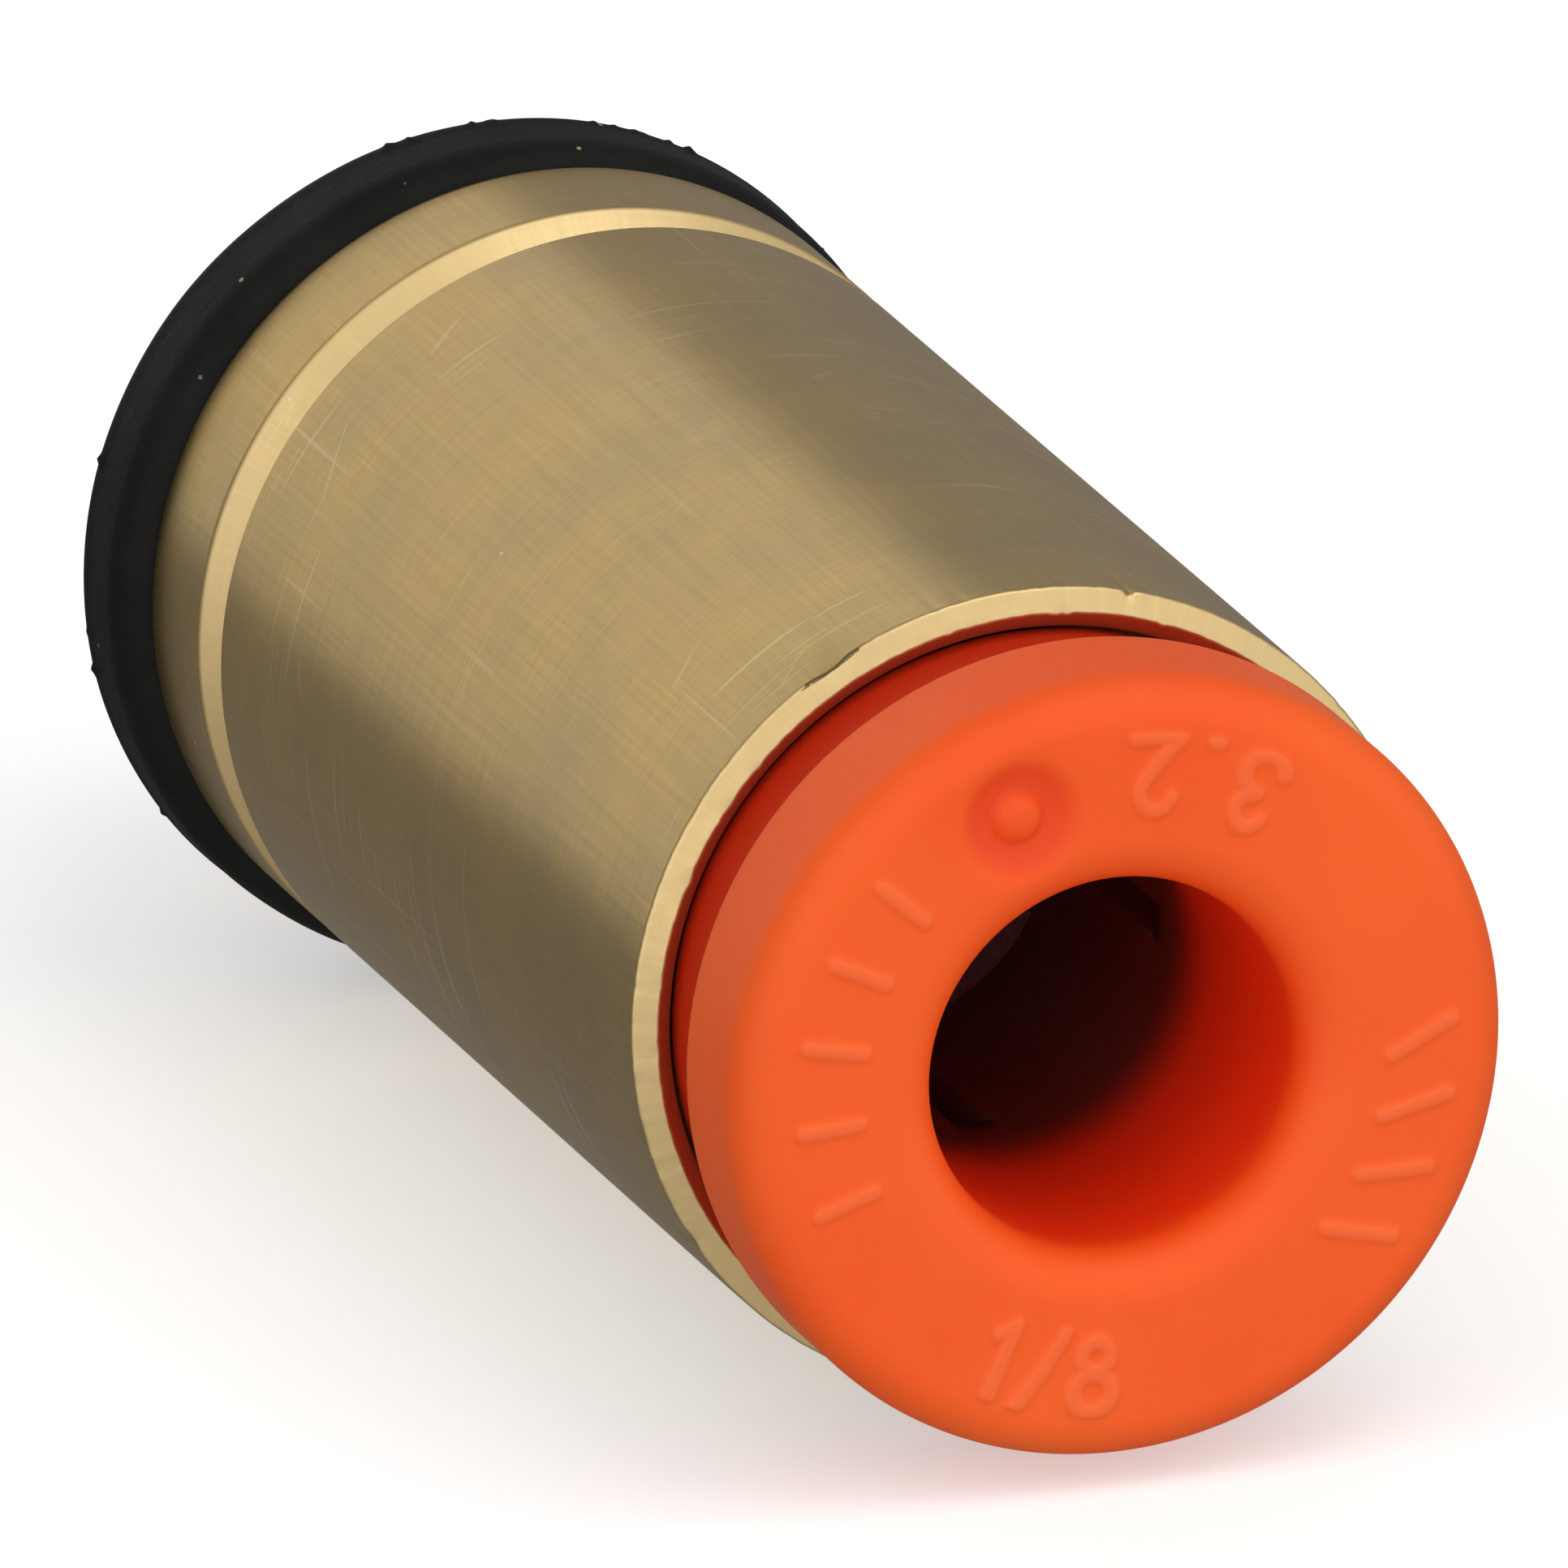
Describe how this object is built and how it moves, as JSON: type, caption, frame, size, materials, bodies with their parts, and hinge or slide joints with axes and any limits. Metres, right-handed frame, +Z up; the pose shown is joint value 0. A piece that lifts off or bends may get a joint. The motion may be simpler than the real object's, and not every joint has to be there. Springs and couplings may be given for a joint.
{
  "type": "push fit coupling",
  "caption": "Round brass push-in connector for small pneumatic tube, with an orange press-to-release bush and a short threaded stud sealed by a rubber gasket.",
  "frame": {"origin": "on the axis, in the plane where the gasket seats on its port, at the first full thread crest", "axes": "+Y along the threaded stud, away from the tube; the release bush faces -Y; the body is round about Y, and +Z is up in the pictures"},
  "size_m": [0.0076, 0.0192, 0.0076],
  "materials": {
    "brass": "fine turned, satin",
    "orange_plastic": "moulded acetal, satin gloss",
    "nbr_rubber": "moulded, matt",
    "spring_steel": "stamped stainless, fine grain",
    "natural_plastic": "moulded acetal, uncoloured"
  },
  "bodies": {
    "housing": {"body": "brass", "seal": "nbr_rubber", "collet": "natural_plastic", "chuck_ring": "spring_steel", "guide": "brass"},
    "release": {"release_bush": "orange_plastic"},
    "gasket": {"gasket_rubber": "nbr_rubber", "gasket_washer": "spring_steel"},
    "finger_1": {"chuck_finger_1": "spring_steel"},
    "finger_2": {"chuck_finger_2": "spring_steel"},
    "finger_3": {"chuck_finger_3": "spring_steel"},
    "finger_4": {"chuck_finger_4": "spring_steel"},
    "finger_5": {"chuck_finger_5": "spring_steel"},
    "finger_6": {"chuck_finger_6": "spring_steel"},
    "finger_7": {"chuck_finger_7": "spring_steel"},
    "finger_8": {"chuck_finger_8": "spring_steel"}
  },
  "joints": [
    {"name": "release_press", "type": "slide", "parent": "housing", "child": "release", "axis": [0, 1, 0], "range_m": [0, 0.0008], "stiffness_N_per_m": 1500},
    {"name": "gasket_turn", "type": "hinge", "parent": "housing", "child": "gasket", "pos_m": [0, -0.00065, 0], "axis": [0, 1, 0], "continuous": true},
    {"name": "finger_bend_1", "type": "hinge", "parent": "housing", "child": "finger_1", "pos_m": [0.0026, -0.00965, 0], "axis": [0, 0, -1], "range_deg": [0, 22]},
    {"name": "finger_bend_2", "type": "hinge", "parent": "housing", "child": "finger_2", "pos_m": [0.00184, -0.00965, 0.00184], "axis": [0.7071, 0, -0.7071], "range_deg": [0, 22]},
    {"name": "finger_bend_3", "type": "hinge", "parent": "housing", "child": "finger_3", "pos_m": [0, -0.00965, 0.0026], "axis": [1, 0, 0], "range_deg": [0, 22]},
    {"name": "finger_bend_4", "type": "hinge", "parent": "housing", "child": "finger_4", "pos_m": [-0.00184, -0.00965, 0.00184], "axis": [0.7071, 0, 0.7071], "range_deg": [0, 22]},
    {"name": "finger_bend_5", "type": "hinge", "parent": "housing", "child": "finger_5", "pos_m": [-0.0026, -0.00965, 0], "axis": [0, 0, 1], "range_deg": [0, 22]},
    {"name": "finger_bend_6", "type": "hinge", "parent": "housing", "child": "finger_6", "pos_m": [-0.00184, -0.00965, -0.00184], "axis": [-0.7071, 0, 0.7071], "range_deg": [0, 22]},
    {"name": "finger_bend_7", "type": "hinge", "parent": "housing", "child": "finger_7", "pos_m": [0, -0.00965, -0.0026], "axis": [-1, 0, 0], "range_deg": [0, 22]},
    {"name": "finger_bend_8", "type": "hinge", "parent": "housing", "child": "finger_8", "pos_m": [0.00184, -0.00965, -0.00184], "axis": [-0.7071, 0, -0.7071], "range_deg": [0, 22]}
  ],
  "couplings": [
    {"joint": "finger_bend_1", "follows": "release_press", "rad_per_m": 479.9},
    {"joint": "finger_bend_2", "follows": "release_press", "rad_per_m": 479.9},
    {"joint": "finger_bend_3", "follows": "release_press", "rad_per_m": 479.9},
    {"joint": "finger_bend_4", "follows": "release_press", "rad_per_m": 479.9},
    {"joint": "finger_bend_5", "follows": "release_press", "rad_per_m": 479.9},
    {"joint": "finger_bend_6", "follows": "release_press", "rad_per_m": 479.9},
    {"joint": "finger_bend_7", "follows": "release_press", "rad_per_m": 479.9},
    {"joint": "finger_bend_8", "follows": "release_press", "rad_per_m": 479.9}
  ]
}
